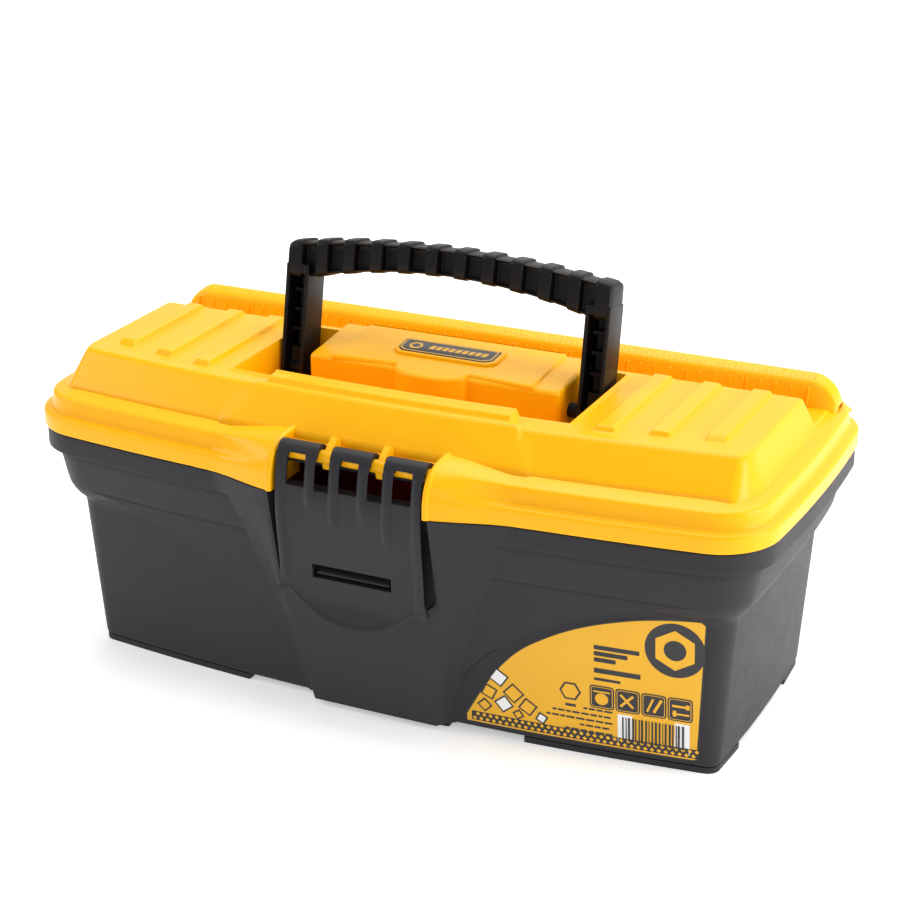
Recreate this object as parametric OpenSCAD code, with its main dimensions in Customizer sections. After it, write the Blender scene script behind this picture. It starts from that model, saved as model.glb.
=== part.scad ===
// Toolbox with a lift-out tray: a moulded tub, a hinged lid with an inch rule along its back,
// a folding carrying handle, a front latch and a red tray that nests in the tub.
// Millimetres. +Z up, +X along the long side, the latch faces -Y, the floor is z = 0.

/* [Tub] */
// half the distance between the corner centres along X
corner_x = 133; // [110:1:160]
// Y of the back corner centres
back_y = 45.5; // [35:0.5:60]
// Y of the front wall's path at the middle
front_y = -57.6; // [-75:0.1:-45]
// radius of the front wall's bow
front_bow_r = 1050; // [600:10:2000]
// radius of the end walls' bow
end_bow_r = 700; // [400:10:1500]
// height of the rim
rim_z = 100.2; // [80:0.1:130]
// wall thickness of the tub
wall = 2.2; // [1.5:0.1:4]
// height of the feet
foot_h = 2.5; // [1:0.5:5]
// height of the step under the upper band
step_z = 74; // [60:1:85]
// half width of the latch recess
recess_w = 33.5; // [25:0.5:45]

/* [Lid] */
// height of the lid's flat top
deck_z = 129.5; // [115:0.5:145]
// half length of the flat top
deck_x = 143; // [120:1:150]
// height of the channel in front of the rule
channel_z = 117; // [110:1:125]
// wall thickness of the lid
lid_t = 2.2; // [1.5:0.1:4]
// half width of the handle well
well_x = 72; // [60:1:85]
// depth to the floor of the handle well
well_z = 109; // [104:1:120]
// half width of the centre boss
boss_x = 55.5; // [45:0.5:60]
// centre of the first ridge from the middle
ridge_x = 87.1; // [80:0.1:100]
// ridge spacing
ridge_pitch = 20.35; // [15:0.05:25]
// half length of the rule
rule_x = 150; // [130:1:152]

/* [Handle] */
// outer half width of the handle
handle_x = 71.4; // [60:0.1:75]
// Y of the handle's pivots
handle_y = -3.5; // [-10:0.5:5]
// Z of the handle's pivots
handle_z = 118; // [112:1:124]
// backward lean at rest, degrees
handle_lean = 10.9; // [0:0.1:20]
// radius of the pivot pins
handle_pin_r = 3; // [2:0.1:4]
// number of grip ribs
grip_ribs = 12; // [6:1:16]

/* [Latch] */
// Y of the latch bar
bar_y = -79.6; // [-85:0.1:-75]
// Z of the latch bar
bar_z = 114.6; // [110:0.1:120]
// radius of the latch bar
bar_r = 2.6; // [2:0.1:3.5]
// half width of the latch
latch_x = 31; // [25:0.5:40]

/* [Tray] */
// top of the tray's rim
tray_top = 94; // [85:0.5:99]
// underside of the tray
tray_z = 50; // [40:1:60]
// height of the rests that carry the tray
rest_z = 73; // [65:0.5:80]
// wall thickness of the tray
tray_t = 1.8; // [1.2:0.1:3]

/* [Hinges] */
// Y of the hinge line
hinge_y = 74.6; // [72:0.1:80]
// Z of the hinge line
hinge_z = 100.4; // [98:0.1:104]
// X of each hinge's middle
hinge_x = 85; // [60:1:120]

/* [Hidden] */
// sine-rule layout of the rounded plan: bowed front, bowed ends, straight back
front_a = asin(corner_x / front_bow_r);
corner_y = front_y + front_bow_r - front_bow_r * cos(front_a);
end_mid = (corner_y + back_y) / 2;
end_a = asin((back_y - corner_y) / 2 / end_bow_r);
end_cx = corner_x - end_bow_r * cos(end_a);

yellow = [1.0, 0.69, 0.06];
grey = [0.26, 0.26, 0.28];
black = [0.15, 0.14, 0.14];
red = [0.42, 0.05, 0.04];

// point on a circle
function on(cx, cy, r, a) = [cx + r * cos(a), cy + r * sin(a)];

// plan outline at a distance u outside the corner centres
function plan(u) = concat(
    [for (i = [-8:8]) on(0, front_y + front_bow_r, front_bow_r + u, -90 + front_a * i / 8)],
    [for (i = [1:9]) on(corner_x, corner_y, u, -90 + front_a + (90 - front_a - end_a) * i / 10)],
    [for (i = [-3:3]) on(end_cx, end_mid, end_bow_r + u, end_a * i / 3)],
    [for (i = [1:9]) on(corner_x, back_y, u, end_a + (90 - end_a) * i / 10)],
    [[corner_x, back_y + u], [-corner_x, back_y + u]],
    [for (i = [9:-1:1]) on(-corner_x, back_y, u, 180 - end_a - (90 - end_a) * i / 10)],
    [for (i = [-3:3]) on(-end_cx, end_mid, end_bow_r + u, 180 + end_a * i / 3)],
    [for (i = [9:-1:1]) on(-corner_x, corner_y, u, -90 - front_a - (90 - front_a - end_a) * i / 10)]);

// one stretch of the sweep: a profile turned about a centre, from angle a0 by da
module turn(cx, cy, r, a0, da, fn) {
    translate([cx, cy, 0]) rotate([0, 0, a0]) rotate_extrude(angle = da, $fn = fn)
        translate([r, 0]) children();
}

// the bowed front stretch of the sweep
module front_sweep() {
    turn(0, front_y + front_bow_r, front_bow_r, -90 - front_a, 2 * front_a, 360) children();
}

// a wall profile of [distance outside the corner centres, z] points taken round the plan:
// closed = a ring whose last point joins its first, otherwise a dish capped at both ends
module sweep(prof, closed = false) {
    n = len(plan(5));
    m = len(prof);
    pts = [for (p = prof) for (q = plan(p[0])) [q[0], q[1], p[1]]];
    side = [for (i = [0:(closed ? m - 1 : m - 2)]) for (j = [0:n - 1]) let (k = (i + 1) % m, l = (j + 1) % n)
        each [[i * n + j, k * n + j, k * n + l], [i * n + j, k * n + l, i * n + l]]];
    polyhedron(pts, closed ? side : concat(side,
        [[for (j = [0:n - 1]) j]], [[for (j = [n - 1:-1:0]) (m - 1) * n + j]]), convexity = 6);
}

// a Y-Z profile drawn as [y, z] and run along X between x0 and x1
module along_x(x0, x1, pts) {
    translate([x0, 0, 0]) rotate([90, 0, 90]) linear_extrude(x1 - x0) polygon(pts);
}

// an X-Z profile drawn as [x, z] and run along Y between y0 and y1
module along_y(y0, y1, pts) {
    translate([0, y1, 0]) rotate([90, 0, 0]) linear_extrude(y1 - y0) polygon(pts);
}

// a rod along X
module rod(x0, x1, y, z, r) {
    translate([x0, y, z]) rotate([0, 90, 0]) cylinder(h = x1 - x0, r = r, $fn = 48);
}

// ---------- tub ----------

module tub() {
    color(grey) {
        sweep([[5.7, foot_h], [10.5, 67], [13.6, 69.6], [16.6, step_z], [19.4, 88],
            [19.4, 97.8], [21.8, 97.8], [21.8, 91.6], [24, 91.6], [24, rim_z], [17.2, rim_z],
            [17.2, 88.4], [14.5, step_z + 0.8], [11.9, 71.2], [8.3, 68.2], [3.6, foot_h + wall]]);
    }
}

// the front of the upper band sweeping down to the middle in two arcs
function arc_x(z) = 29 + 104 * (1 - pow(1 - pow((z - foot_h) / 71.9, 2), 0.72));

module apron() {
    zs = [for (i = [0:14]) foot_h + 0.3 + 71.2 * i / 14];
    color(grey) intersection() {
        front_sweep() polygon([[5.75, foot_h + 0.3], [10.52, 67], [13.62, 69.6], [16.6, step_z - 0.1]]);
        along_y(-120, -40, concat([for (z = zs) [arc_x(z), z]],
            [for (i = [14:-1:0]) [-arc_x(zs[i]), zs[i]]]));
    }
}

// half width of the raised middle column
function col_x(z) = 31 + 32 * pow(z / 97, 1.35);

module pylon() {
    zs = [for (i = [0:12]) foot_h + (rim_z - foot_h) * i / 12];
    color(grey) difference() {
        intersection() {
            along_y(-100, -50, concat([for (z = zs) [col_x(z), z]],
                [for (i = [12:-1:0]) [-col_x(zs[i]), zs[i]]]));
            along_x(-70, 70, [[-50, foot_h], [-68.3, foot_h], [-88.3, rim_z], [-50, rim_z]]);
            linear_extrude(120) polygon([[-66, -50], [-66, -78.5], [-60, -80.6], [-47, -85.4],
                [-36, -88.6], [36, -88.6], [47, -85.4], [60, -80.6], [66, -78.5], [66, -50]]);
        }
        // the wall it stands on
        front_sweep() polygon([[-20, -1], [5.7, foot_h - 0.1], [16.7, step_z], [19.4, 88],
            [19.4, 91.5], [24.1, 91.5], [24.1, 110], [-20, 110]]);
        // the latch lies in here
        translate([-recess_w, -100, 66]) cube([2 * recess_w, 21, 50]);
        translate([-recess_w + 8, -100, 58]) cube([2 * recess_w - 16, 21, 20]);
        for (s = [-1, 1]) translate([s * (recess_w - 8), -79, 66]) rotate([90, 0, 0])
            cylinder(h = 21, r = 8, $fn = 64);
    }
}

module feet() {
    color(grey) difference() {
        linear_extrude(foot_h) polygon(plan(5.4));
        for (s = [-1, 1]) {
            translate([s * 46 - 16, -90, -1]) cube([32, 180, foot_h + 2]);
            translate([s * 97 - 35.5, -48, -1]) cube([71, 84, foot_h + 2]);
            translate([s * 130 - 20, -30, -1]) cube([40, 57, foot_h + 2]);
        }
    }
}

module tray_rests() {
    color(grey) for (s = [-1, 1], y = [-30, 24])
        intersection() {
            translate([s > 0 ? corner_x + 8.7 : -corner_x - 15.7, y - 8, 66]) cube([7, 16, rest_z - 66]);
            sweep_inside();
        }
}

// everything inside the tub's inner wall at the ends, where the rests sit
module sweep_inside() {
    for (m = [0, 1]) mirror([m, 0, 0])
        turn(end_cx, end_mid, end_bow_r, -end_a, 2 * end_a, 360)
            polygon([[0, 60], [7.6, 60], [8.25, 68.3], [11.8, 71.3], [14.4, step_z + 1], [0, step_z + 1]]);
}

module catch() {
    color(grey) along_x(-15.5, 15.5, [[-79, 64], [-81, 67.2], [-86.2, 67.2],
        [-86.6, 68.4], [-85, 70], [-79, 70.2]]);
}

module knuckle(x0, x1) {
    rod(x0, x1, hinge_y, hinge_z, 3.6);
}

module tub_knuckles() {
    color(grey) for (m = [0, 1]) mirror([m, 0, 0]) for (x = [hinge_x - 15, hinge_x + 7])
        difference() {
            union() {
                knuckle(x, x + 8);
                along_x(x, x + 8, [[69.55, 91.8], [71, 91.8], [hinge_y + 3, 97.4], [hinge_y, 100],
                    [69.55, 100]]);
            }
            rod(x - 1, x + 9, hinge_y, hinge_z, 1.5);
        }
}

module hinge_pin_left() { color([0.6, 0.6, 0.62]) rod(-hinge_x - 15.6, -hinge_x + 15.6, hinge_y, hinge_z, 1.5); }
module hinge_pin_right() { color([0.6, 0.6, 0.62]) rod(hinge_x - 15.6, hinge_x + 15.6, hinge_y, hinge_z, 1.5); }

// the printed sheet on the right front panel
module label() {
    color([0.96, 0.74, 0.2]) intersection() {
        front_sweep() polygon([[6.13, 8], [10.52, 66.9], [10.9, 66.9], [6.51, 8]]);
        along_y(-90, -40, [[40, 9], [42, 17], [47, 25], [54, 33], [62, 40.5], [71, 47.5], [81, 53.5],
            [92, 58.5], [104, 62.5], [117, 65.3], [131.5, 66.6], [128.5, 9]]);
    }
}

// ---------- lid ----------

// the raised middle of the lid, shrunk all round by d and run down to z0
module deck(d, z0) {
    intersection() {
        along_y(-100, 100, [[-150.4 + d, z0], [-150.4 + d, 112], [-deck_x + d, deck_z - d],
            [deck_x - d, deck_z - d], [150.4 - d, 112], [150.4 - d, z0]]);
        along_x(-170, 170, [[-90, z0], [-90, deck_z - d], [17.5 - 0.7 * d, deck_z - d],
            [21.5 - 0.7 * d, channel_z - d], [60 - d, channel_z - d], [60 - d, z0]]);
        translate([0, front_y + front_bow_r, 0]) rotate_extrude($fn = 720) polygon([[0, z0],
            [front_bow_r + 16.6 - d, z0], [front_bow_r + 16.6 - d, 112],
            [front_bow_r - 3.8 - d, 134], [0, 134]]);
    }
}

module boss_block(d) {
    along_x(-boss_x + d, boss_x - d, [[-15 + d, 100], [-15 + d, 130 - d], [17 - d, 133 - d],
        [20.6 - d, channel_z], [20.6 - d, 100]]);
    intersection() {
        translate([0, -0.2, 100]) cylinder(h = 40, r = 21.8 - d, $fn = 96);
        along_x(-16 + d, 16 - d, [[-30, 100], [-30, 129.6 - d], [0, 131.5 - d], [0, 100]]);
    }
}

module lid_shoulders() {
    for (m = [0, 1]) mirror([m, 0, 0]) intersection() {
        along_x(32, 70, [[-89, 100.5], [-88.4, 106], [-85, 111.5], [-80, 115.6], [-74, 118.3],
            [-66, 118.3], [-66, 112], [-78, 112], [-78, 100.5]]);
        linear_extrude(130) polygon([[32, -60], [32, -89], [36, -88.8], [47, -85.4], [60, -80.8],
            [70, -78.5], [70, -60]]);
    }
}

// everything cut out of the lid behind and above the latch
module latch_window() {
    translate([-32, -100, 99]) cube([64, 38, 12.6]);
    rod(-32, 32, bar_y, bar_z, 5.7);
    rod(-35, 35, bar_y, bar_z, bar_r);
}

// the skirt that closes on the tub, with its bead and the ledge above it
module lid_rim() {
    color(yellow) difference() {
        sweep([[25, 100.5], [25, 106.8], [24.2, 107.6], [21.4, 108], [20.7, 114], [19.8, 114.9],
            [9, 117.0], [9, 114.9], [18.3, 112.9], [19.1, 106], [22.8, 105.4], [22.8, 100.5]],
            closed = true);
        latch_window();
        lid_shoulders();
        deck(0, 99);
        // the bar's brackets stand in these
        for (s = [-1, 1]) translate([s * 11.3 - 1.5, -83, 99]) cube([3, 11.3, 30]);
    }
}

module lid_shoulder() {
    color(yellow) difference() {
        lid_shoulders();
        latch_window();
        deck(0, 99);
    }
}

module lid() {
    color(yellow) difference() {
        union() {
            difference() {
                deck(0, 111.5);
                deck(lid_t, 99);
            }
            // walls and floor of the handle well
            translate([-well_x - 2, -49.5, well_z - 2]) cube([2 * well_x + 4, 63.5, deck_z - well_z + 1]);
            // bar along the front edge of the well
            along_x(-53, 53, [[-55.5, 128.2], [-55.5, 130.4], [-54.2, 132.4], [-49, 132.6], [-46.5, 131],
                [-46.5, 128.2]]);
            for (s = [-1, 1], i = [0:2]) translate([s * (ridge_x + i * ridge_pitch), 0, 0])
                along_y(-49 + 2 * i, 16.5, [[-4.3, deck_z - 1], [-4.3, deck_z], [-2.8, deck_z + 1.8],
                    [2.8, deck_z + 1.8], [4.3, deck_z], [4.3, deck_z - 1]]);
        }
        // the well itself
        translate([-well_x, -47.5, well_z]) cube([2 * well_x, 59.5, 60]);
        boss_block(0);
        // seats of the handle pins
        for (s = [-1, 1]) rod(s * 73 - 3, s * 73 + 3, handle_y, handle_z, handle_pin_r);
    }
}

module boss() {
    slope = atan(3 / 32);
    color(yellow) difference() {
        union() {
            difference() {
                boss_block(0);
                difference() {
                    boss_block(lid_t);
                    for (s = [-1, 1]) translate([s * 30 - 1, -40, 90]) cube([2, 80, 60]);
                }
                translate([-100, -100, 90]) cube([200, 200, well_z - 92 + 0.0]);
            }
            translate([-23, -5, 130.55]) rotate([slope, 0, 0]) cube([46, 14.4, 1.9]);
        }
        // seat of the badge
        translate([-21.2, -3.2, 131.75]) rotate([slope, 0, 0]) cube([42.4, 10.8, 4]);
        for (s = [-1, 1]) rod(s * 54 - 4, s * 54 + 4, handle_y, handle_z, handle_pin_r);
        for (s = [-1, 1]) translate([s > 0 ? 44.5 : -60.5, -20, 0])
            along_x(0, 16, [[0, 129.5], [0, 140], [45, 143], [45, 133]]);
    }
}

module badge() {
    color([0.2, 0.2, 0.22]) translate([-21.2, -3.2, 131.75]) rotate([atan(3 / 32), 0, 0])
        cube([42.4, 10.8, 0.7]);
}

module rule() {
    color(yellow) difference() {
        along_x(-rule_x, rule_x, [[40.5, channel_z], [43.2, 126.4], [44.5, 127.2], [50.5, 128.2],
            [52, 127.4], [54, channel_z]]);
        along_x(-rule_x + 2, rule_x - 2, [[42.8, channel_z - 1], [45, 124.6], [50.4, 125.6],
            [52, channel_z - 1]]);
        // rounded top corners
        for (s = [-1, 1]) translate([s * (rule_x + 1), 40, 129.4]) rotate([0, 45, 0])
            cube([7, 40, 7], center = true);
        // every inch a long mark, quarters between them
        for (i = [0:44]) translate([-141.9 + 6.35 * i, 0, 0])
            along_x(-0.35, 0.35, i % 4 == 0
                ? [[41.4, 120], [41.9, 120], [43.6, 125.9], [43.0, 126.2]]
                : [[42.3, 123.2], [42.8, 123.2], [43.6, 125.9], [43.0, 126.2]]);
    }
}

module latch_bar() {
    color(yellow) {
        rod(-34.8, 34.8, bar_y, bar_z, bar_r);
        for (s = [-1, 1]) along_x(s * 11.3 - 1.4, s * 11.3 + 1.4, [[-81.6, 110.4], [-82.2, 112.6],
            [-80.6, 116.8], [-74.4, 121.2], [-71.9, 119.6], [-73.6, 113.6], [-73.6, 111.9]]);
    }
}

module lid_knuckles() {
    color(yellow) for (m = [0, 1]) mirror([m, 0, 0]) difference() {
        union() {
            knuckle(hinge_x - 6.7, hinge_x + 6.7);
            along_x(hinge_x - 6.7, hinge_x + 6.7, [[70.55, 100.6], [hinge_y, 100.6],
                [hinge_y + 2.4, 103], [72, 107], [70.55, 107]]);
        }
        rod(hinge_x - 8, hinge_x + 8, hinge_y, hinge_z, 1.56);
    }
}

// ---------- handle ----------

module handle_pin_left() { color(black) rod(-73.8, -53.4, handle_y, handle_z, handle_pin_r); }
module handle_pin_right() { color(black) rod(53.4, 73.8, handle_y, handle_z, handle_pin_r); }

// the arched grip: half depth hd, lowered on top by t
module arch(hd, t) {
    difference() {
        intersection() {
            along_y(-hd, hd, [[-handle_x, 36], [-handle_x, 49.4], [-70.2, 51.9], [-67.6, 53.4], [-40, 60],
                [40, 60], [67.6, 53.4], [70.2, 51.9], [handle_x, 49.4], [handle_x, 36]]);
            translate([0, hd, 58.2 - t - 474]) rotate([90, 0, 0]) cylinder(h = 2 * hd, r = 474, $fn = 720);
        }
        intersection() {
            translate([0, hd + 1, 45.7 - 246]) rotate([90, 0, 0])
                cylinder(h = 2 * hd + 2, r = 246, $fn = 720);
            translate([-61, -hd - 2, 30]) cube([122, 2 * hd + 4, 40]);
        }
    }
}

module leg() {
    difference() {
        union() {
            translate([61, -7.4, 0]) cube([10.4, 14.8, 44]);
            rod(61, handle_x, 0, 0, 7.4);
        }
        for (i = [0:3]) translate([62.7, -8, 8.5 + 8.2 * i]) cube([7, 11.5, 6.6]);
        rod(60, 73, 0, 0, handle_pin_r + 0.06);
    }
}

module handle() {
    color(black) translate([0, handle_y, handle_z]) rotate([-handle_lean, 0, 0]) {
        arch(5.9, 1.7);
        intersection() {
            arch(7.4, 0);
            union() for (i = [0:grip_ribs - 1])
                translate([-67.7 + i * 135.4 / (grip_ribs - 1) - (i == 0 ? 3.7 : 2.9), -20, 30])
                    cube([i == 0 || i == grip_ribs - 1 ? 6.6 : 5.8, 40, 40]);
        }
        for (m = [0, 1]) mirror([m, 0, 0]) leg();
    }
}

// ---------- latch ----------

module latch() {
    color([0.27, 0.27, 0.29]) difference() {
        union() {
            difference() {
                along_x(-latch_x, latch_x, [[-84.4, 114.6], [-86.2, 106], [-87.1, 99], [-86.8, 90],
                    [-85.7, 78], [-85, 70], [-84.8, 60], [-86.2, 46], [-83.9, 45.6], [-82.2, 58],
                    [-82.4, 70], [-83.2, 80], [-84.3, 92], [-84.4, 99], [-83.3, 106], [-80, 113]]);
                // finger lip: curved lower edge
                along_y(-95, -75, [[-40, 40], [-40, 62], [-31, 62], [-26.5, 57.5], [-21, 52.5],
                    [-14, 48.3], [-7, 46.2], [0, 45.7], [7, 46.2], [14, 48.3], [21, 52.5],
                    [26.5, 57.5], [31, 62], [40, 62], [40, 40]]);
            }
            rod(-latch_x, latch_x, bar_y, bar_z, 4.8);
        }
        // gaps between the three loops, and the opening in each loop
        for (s = [-1, 1]) translate([s * 11.3 - 3, -95, 103]) cube([6, 30, 20]);
        for (x = [-22.6, 0, 22.6]) translate([x - 3.9, -95, 103]) cube([7.8, 12.2, 9.6]);
        rod(-35, 35, bar_y, bar_z, bar_r + 0.06);
        // slot that takes the catch
        translate([-17, -95, 66]) cube([34, 20, 5.4]);
    }
    // stiffening fins under the gaps and along both edges
    color([0.27, 0.27, 0.29]) for (x = [-30.2, -11.3, 11.3, 30.2])
        along_x(x - 0.8, x + 0.8, [[-86.6, 101.5], [-87.8, 98], [-87.4, 88], [-86, 78], [-85.5, 78],
            [-86.5, 90], [-86.8, 99]]);
}

// ---------- tray ----------

module tray() {
    color(red) {
        sweep([[5.6, tray_z], [6.8, rest_z + 0.05], [13.2, rest_z + 0.05], [15.8, tray_top],
            [12.4, tray_top], [12.4, tray_top - 1.6], [13.9, tray_top - 1.6], [11.7, rest_z + tray_t],
            [5.2, rest_z + tray_t], [3.9, tray_z + tray_t]]);
    }
}

module tray_grip() {
    color(red) {
        for (x = [-58, 56]) translate([x, -56, tray_z + tray_t]) cube([2, 100.5, 36]);
        difference() {
            translate([-56, -6, tray_z + tray_t]) cube([112, 2, 40]);
            translate([-34, -10, 76]) cube([68, 10, 12]);
            for (x = [-34, 34]) translate([x, 0, 82]) rotate([90, 0, 0]) cylinder(h = 10, r = 6, $fn = 48);
        }
    }
}

tub();
apron();
pylon();
feet();
tray_rests();
catch();
tub_knuckles();
hinge_pin_left();
hinge_pin_right();
label();
lid();
lid_rim();
lid_shoulder();
boss();
rule();
latch_bar();
lid_knuckles();
badge();
handle_pin_left();
handle_pin_right();
handle();
latch();
tray();
tray_grip();
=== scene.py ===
"""A 13 inch toolbox with a lift-out tray: moulded grey tub, orange lid with an inch rule,
folding black handle, front latch with three loops, and a dark red tray."""

import math

import bpy
import numpy as np
from bpy.props import FloatProperty, FloatVectorProperty, IntProperty, PointerProperty
from bpy.types import Operator, Panel, PropertyGroup
from mathutils import Matrix, Vector


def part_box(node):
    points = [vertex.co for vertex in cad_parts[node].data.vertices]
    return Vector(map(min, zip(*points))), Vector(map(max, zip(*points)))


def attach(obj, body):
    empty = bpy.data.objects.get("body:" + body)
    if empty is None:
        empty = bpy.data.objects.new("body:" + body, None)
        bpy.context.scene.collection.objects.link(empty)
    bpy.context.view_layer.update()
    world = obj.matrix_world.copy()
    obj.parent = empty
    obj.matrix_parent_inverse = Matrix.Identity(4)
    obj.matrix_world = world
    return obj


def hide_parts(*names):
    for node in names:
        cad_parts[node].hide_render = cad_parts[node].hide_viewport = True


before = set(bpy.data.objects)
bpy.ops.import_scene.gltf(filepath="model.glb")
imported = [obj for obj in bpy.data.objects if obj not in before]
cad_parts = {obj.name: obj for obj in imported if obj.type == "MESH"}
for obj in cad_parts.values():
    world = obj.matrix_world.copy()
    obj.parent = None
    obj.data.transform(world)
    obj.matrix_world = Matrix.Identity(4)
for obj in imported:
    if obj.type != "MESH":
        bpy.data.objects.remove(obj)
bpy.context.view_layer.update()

bl_info = {
    "name": "Toolbox with tray",
    "version": (1, 0, 0),
    "blender": (4, 5, 0),
    "location": "3D View > Sidebar > Toolbox",
    "description": "Makes a moulded toolbox with a hinged lid, a folding handle, a latch and a tray",
    "category": "Object",
}

MM = 0.001
FRONT_R = 1050.0  # radius of the front wall's bow
CORNER_X = 133.0
FRONT_Y = -57.6
BACK_Y = 45.5
END_R = 700.0
FRONT_A = math.asin(CORNER_X / FRONT_R)
CORNER_Y = FRONT_Y + FRONT_R - FRONT_R * math.cos(FRONT_A)
END_MID = (CORNER_Y + BACK_Y) / 2
END_A = math.asin((BACK_Y - CORNER_Y) / 2 / END_R)
END_CX = CORNER_X - END_R * math.cos(END_A)
CORNER_STEPS, END_STEPS, BACK_STEPS = 14, 10, 30  # stations along each part of the plan
BAR_Y, BAR_Z = -79.6, 114.6  # the bar that the latch turns on
PIVOT_Y, PIVOT_Z = -3.5, 118.0  # the handle's pivots
BED_Y = -79.0  # the flat behind the latch
INCH = 25.4
# how far each layer of print stands off the wall
INK, KNOCKOUT, OVERPRINT, SIGNS = 0.36, 0.42, 0.48, 0.54


# ---------- sums used by every shape ----------


def ease(a, b, t):
    """0 before a, 1 after b, and 3s^2 - 2s^3 between them."""
    s = np.clip((t - a) / (b - a), 0, 1)
    return s * s * (3 - 2 * s)


def points(*coordinates):
    """Coordinates of any matching shapes, broadcast and put side by side."""
    return np.stack(np.broadcast_arrays(*coordinates), -1)


def lower(a, b, k):
    """The smaller of two heights, with the crease between them rounded over about k."""
    h = np.clip(0.5 + 0.5 * (b - a) / k, 0, 1)
    return b * (1 - h) + a * h - k * h * (1 - h)


def stations(lo, hi, step, *edges):
    """Grid lines from lo to hi every step, and closer ones across each edge (from, to)."""
    lines = [np.linspace(lo, hi, int(round((hi - lo) / step)) + 1)]
    for a, b in edges:
        lines.append(a + (b - a) * np.array([-0.3, -0.02, 0.1, 0.25, 0.5, 0.75, 0.9, 1.02, 1.3]))
    x = np.unique(np.round(np.concatenate(lines), 4))
    x = x[(x >= lo) & (x <= hi)]
    return x[np.concatenate([[True], np.diff(x) > 0.04])]


def both(edges):
    """Edges given for +X, with their mirror images."""
    return list(edges) + [(-b, -a) for a, b in edges]


def soften(points, radius, n=4, closed=False):
    """A polyline with each inner corner turned into a short curve: the corner point becomes n
    points on the quadratic curve that starts and ends at most `radius` away from it."""
    p = np.asarray(points, float)
    m = len(p)
    reach = np.broadcast_to(radius, m)
    out = [] if closed else [p[0]]
    for i in range(m) if closed else range(1, m - 1):
        a, b, c = p[i - 1], p[i], p[(i + 1) % m]
        la, lc = np.hypot(*(a - b)), np.hypot(*(c - b))
        a = b + (a - b) * min(reach[i] / la, 0.45)
        c = b + (c - b) * min(reach[i] / lc, 0.45)
        t = np.linspace(0, 1, n)[:, None]
        out.extend((1 - t) ** 2 * a + 2 * t * (1 - t) * b + t * t * c)
    if not closed:
        out.append(p[-1])
    return np.array(out)


def resample(points, step):
    """The same polyline with points added so that none are further apart than step."""
    p = np.asarray(points, float)
    out = [p[:1]]
    for a, b in zip(p[:-1], p[1:]):
        n = max(1, int(math.ceil(np.hypot(*(b - a)) / step)))
        out.append(a + (b - a) * np.linspace(0, 1, n + 1)[1:, None])
    return np.concatenate(out)


def arc(cx, cy, r, a):
    """Points of a circle at the angles a."""
    return points(cx + r * np.cos(a), cy + r * np.sin(a))


def outline(u, front=None):
    """The box's rounded plan at distance u outside the corner centres, run anticlockwise from
    the front left: a bowed front, quarter-round corners, bowed ends and a straight back. front
    gives the X positions wanted along the front."""
    x = np.linspace(-CORNER_X, CORNER_X, 81) if front is None else front
    x = x * (1 + u / FRONT_R)
    f = np.stack([x, FRONT_Y + FRONT_R - np.sqrt((FRONT_R + u) ** 2 - x * x)], -1)
    t = np.linspace(0, 1, CORNER_STEPS + 1)[1:-1]
    a0, a1 = -math.pi / 2 + FRONT_A, -END_A
    c1 = arc(CORNER_X, CORNER_Y, u, a0 + (a1 - a0) * t)
    e = arc(END_CX, END_MID, END_R + u, np.linspace(-END_A, END_A, END_STEPS + 1))
    c2 = arc(CORNER_X, BACK_Y, u, END_A + (math.pi / 2 - END_A) * t)
    back = np.linspace(CORNER_X, -CORNER_X, BACK_STEPS + 1)
    b = points(back, BACK_Y + u)
    m = np.array([-1.0, 1.0])
    return np.concatenate([f, c1, e, c2, b, c2[::-1] * m, e[::-1] * m, c1[::-1] * m])


def quads(rows, cols, round_rows=False, round_cols=False):
    """Four-sided faces over a grid of rows x cols points, joined round where asked."""
    i = np.arange(rows if round_rows else rows - 1)[:, None]
    j = np.arange(cols if round_cols else cols - 1)[None, :]
    k, l = (i + 1) % rows, (j + 1) % cols
    return np.stack([i * cols + j, i * cols + l, k * cols + l, k * cols + j], -1).reshape(-1, 4)


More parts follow.
